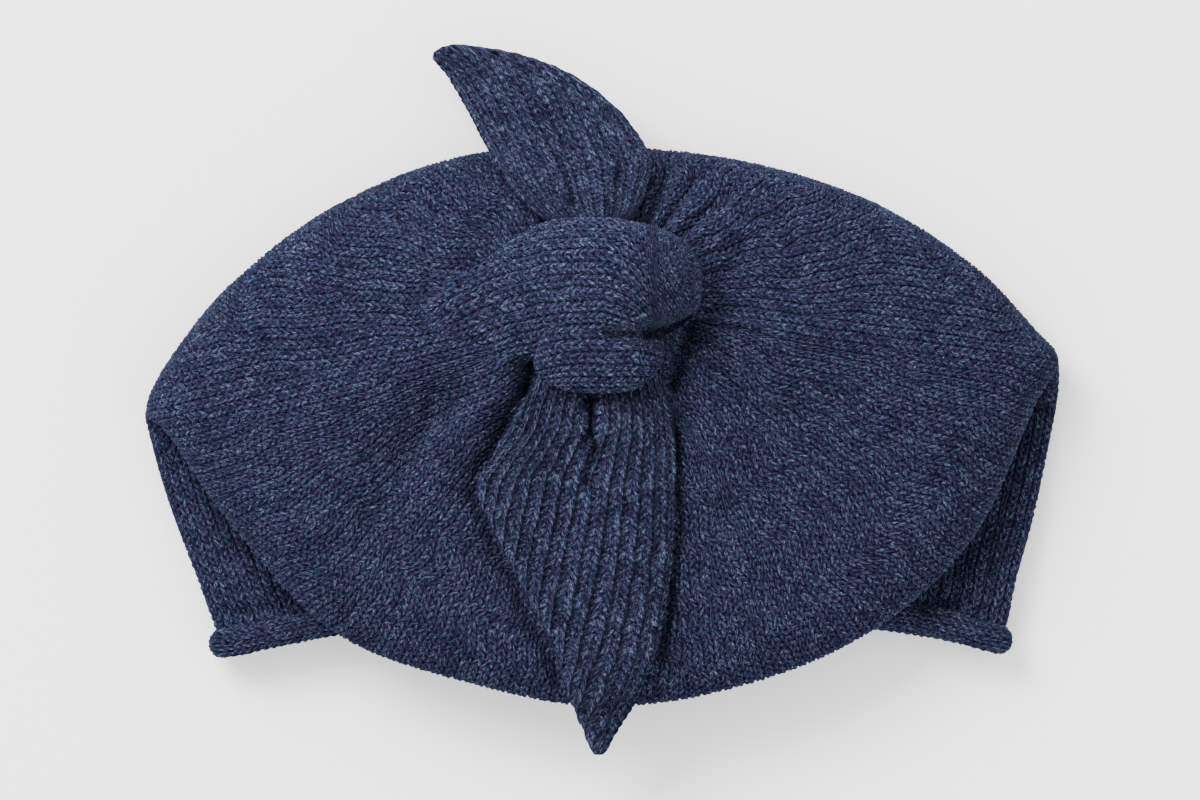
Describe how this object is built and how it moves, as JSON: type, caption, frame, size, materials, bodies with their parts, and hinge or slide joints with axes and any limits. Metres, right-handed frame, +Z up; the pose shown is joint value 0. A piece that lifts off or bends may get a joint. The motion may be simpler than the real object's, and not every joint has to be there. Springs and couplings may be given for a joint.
{
  "type": "top knot beanie",
  "caption": "Knitted wool beanie with a rolled hem, its slouchy crown folded forward and tied at the top in a knot with two pointed tails.",
  "frame": {"origin": "bottom centre of the hat's bounding box, on the surface that its back lies on", "axes": "+X to the right across the hat as it lies, +Y from the hem towards the crown's top fold, +Z up through the knot"},
  "size_m": [0.2303, 0.1779, 0.0542],
  "materials": {
    "heather_wool": "matt, fuzzy stockinette knit in navy wool with lighter blue and grey fibres",
    "heather_wool_knot": "the same knit stretched over the knot and its tails, so its wales stand apart like ribs"
  },
  "bodies": {
    "root": {"crown": "heather_wool", "rolled_hem": "heather_wool", "upper_tail": "heather_wool_knot", "lower_tail": "heather_wool_knot", "knot_under_wrap": "heather_wool_knot", "knot_over_wrap": "heather_wool_knot"}
  },
  "joints": []
}
